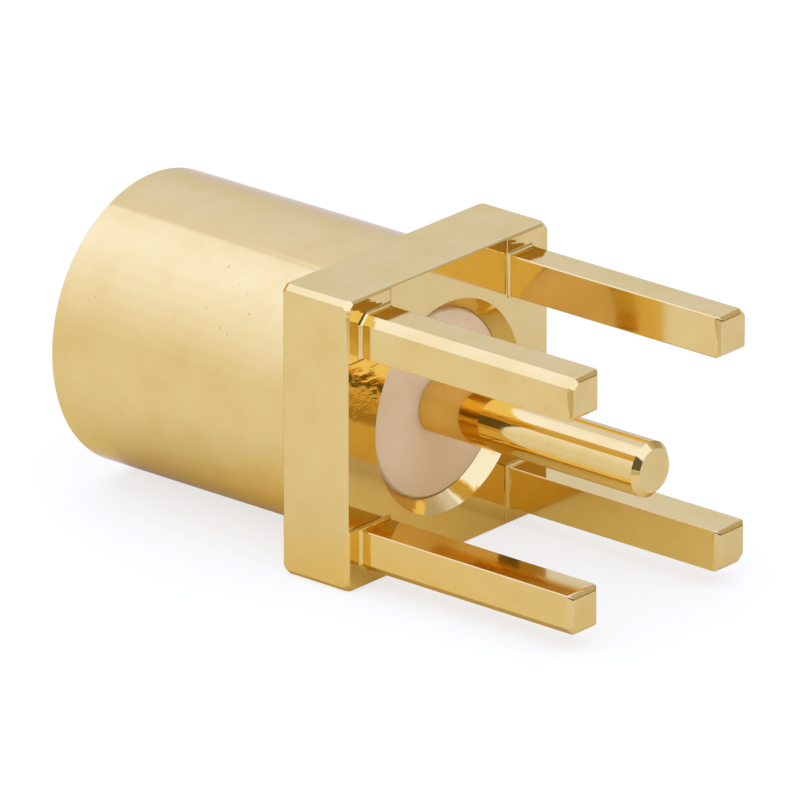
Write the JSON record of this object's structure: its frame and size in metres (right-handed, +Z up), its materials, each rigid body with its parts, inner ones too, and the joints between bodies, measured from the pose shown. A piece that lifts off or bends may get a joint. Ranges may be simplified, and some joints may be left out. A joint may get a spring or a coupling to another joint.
{
  "type": "mcx connector",
  "caption": "Straight coaxial jack for a printed board: round barrel with a snap-in mating bore, square flange, square solder legs and a central solder tail.",
  "frame": {"origin": "centre of the flange's board seat, on the mating axis", "axes": "+X along the solder legs, away from the flange; the mating mouth faces -X; +Z up with the part lying on a flange side"},
  "size_m": [0.0149, 0.0068, 0.0068],
  "materials": {
    "gold_body": "gold plating, bright, over turned and milled brass",
    "ptfe": "white PTFE, waxy and matt",
    "gold_contact": "gold plating, polished"
  },
  "bodies": {
    "root": {"body": "gold_body", "insulator": "ptfe", "center_contact": "gold_contact"}
  },
  "joints": []
}
